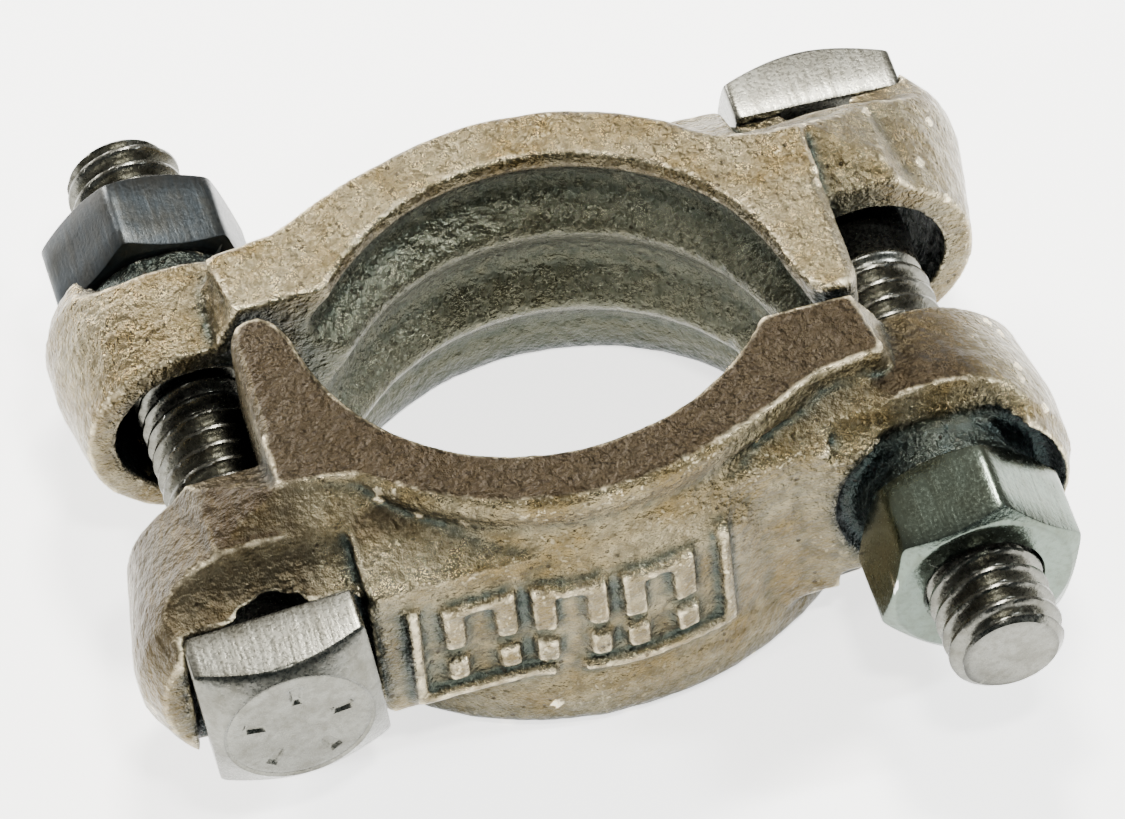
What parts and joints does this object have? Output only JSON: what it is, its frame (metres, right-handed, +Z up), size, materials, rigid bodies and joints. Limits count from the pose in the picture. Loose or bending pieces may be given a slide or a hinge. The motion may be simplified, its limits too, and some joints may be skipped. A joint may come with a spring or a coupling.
{
  "type": "pipe repair clamp",
  "caption": "Two-bolt split clamp: two ridged cast half bands with lugs and tongues, drawn together round a pipe or hose by square-head bolts and hex nuts.",
  "frame": {"origin": "middle of the clamp: halfway between the two bolts, at mid-height of the castings", "axes": "+Z up along the pipe's axis; +X to the right along the line of the two bolts' lugs; +Y to the rear, along the bolts, from the front casting to the rear one"},
  "size_m": [0.0642, 0.0588, 0.0224],
  "materials": {
    "casting": "plated malleable iron, rough as cast",
    "bolt_zinc": "zinc plated steel, bright on the thread flanks",
    "nut_zinc": "zinc plated steel, satin",
    "dark_nut_zinc": "dull dark zinc plated steel"
  },
  "bodies": {
    "front_body": {"front_half": "casting", "left_bolt": "bolt_zinc"},
    "rear_body": {"rear_half": "casting", "right_bolt": "bolt_zinc"},
    "left_nut_body": {"left_nut": "dark_nut_zinc"},
    "right_nut_body": {"right_nut": "nut_zinc"}
  },
  "joints": [
    {"name": "halves_open", "type": "slide", "parent": "front_body", "child": "rear_body", "axis": [0, 1, 0], "range_m": [-0.0005, 0.0055]},
    {"name": "left_nut_spin", "type": "hinge", "parent": "rear_body", "child": "left_nut_body", "pos_m": [-0.0228, 0.02, 0], "axis": [0, 1, 0], "range_deg": [-130, 1410]},
    {"name": "right_nut_spin", "type": "hinge", "parent": "front_body", "child": "right_nut_body", "pos_m": [0.0228, -0.02, 0], "axis": [0, 1, 0], "range_deg": [-1410, 130]}
  ],
  "couplings": [
    {"joint": "left_nut_spin", "follows": "halves_open", "rad_per_m": 4452.7},
    {"joint": "right_nut_spin", "follows": "halves_open", "rad_per_m": -4452.7}
  ]
}
